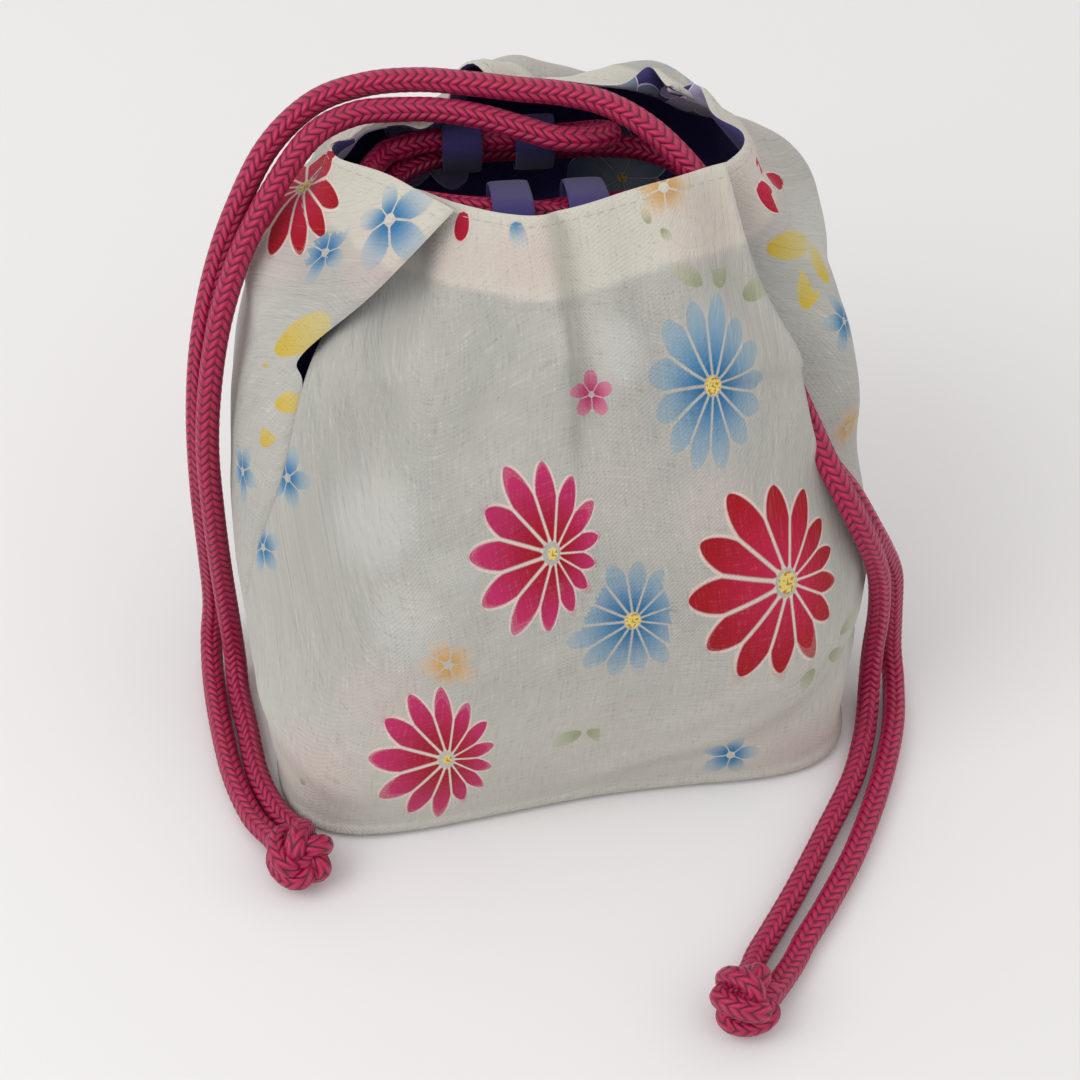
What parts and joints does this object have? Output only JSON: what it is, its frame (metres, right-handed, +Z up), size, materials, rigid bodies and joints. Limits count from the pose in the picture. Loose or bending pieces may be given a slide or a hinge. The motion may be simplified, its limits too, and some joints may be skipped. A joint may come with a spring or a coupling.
{
  "type": "kinchaku drawstring pouch",
  "caption": "Lined cotton drawstring pouch standing filled out, its mouth gathered by two doubled cords tied off in knots.",
  "frame": {"origin": "centre of the pouch's footprint, on the surface it stands on, measured without the cords and knots", "axes": "+X to the pouch's right as seen from the front, -Y to the front, +Z up"},
  "size_m": [0.1885, 0.2142, 0.1634],
  "materials": {
    "printed_cotton": "thin slubby off-white cotton with a scattered floral print",
    "navy_lining": "plain-woven navy cotton with pale flowers",
    "braided_cord": "soft round crimson braid with a slight sheen"
  },
  "bodies": {
    "root": {"outer_front_panel": "printed_cotton", "outer_back_panel": "printed_cotton", "lining_front_panel": "navy_lining", "lining_back_panel": "navy_lining", "front_left_tab": "navy_lining", "front_right_tab": "navy_lining", "back_left_tab": "navy_lining", "back_right_tab": "navy_lining", "left_drawcord": "braided_cord", "right_drawcord": "braided_cord", "left_knot": "braided_cord", "right_knot": "braided_cord"}
  },
  "joints": []
}
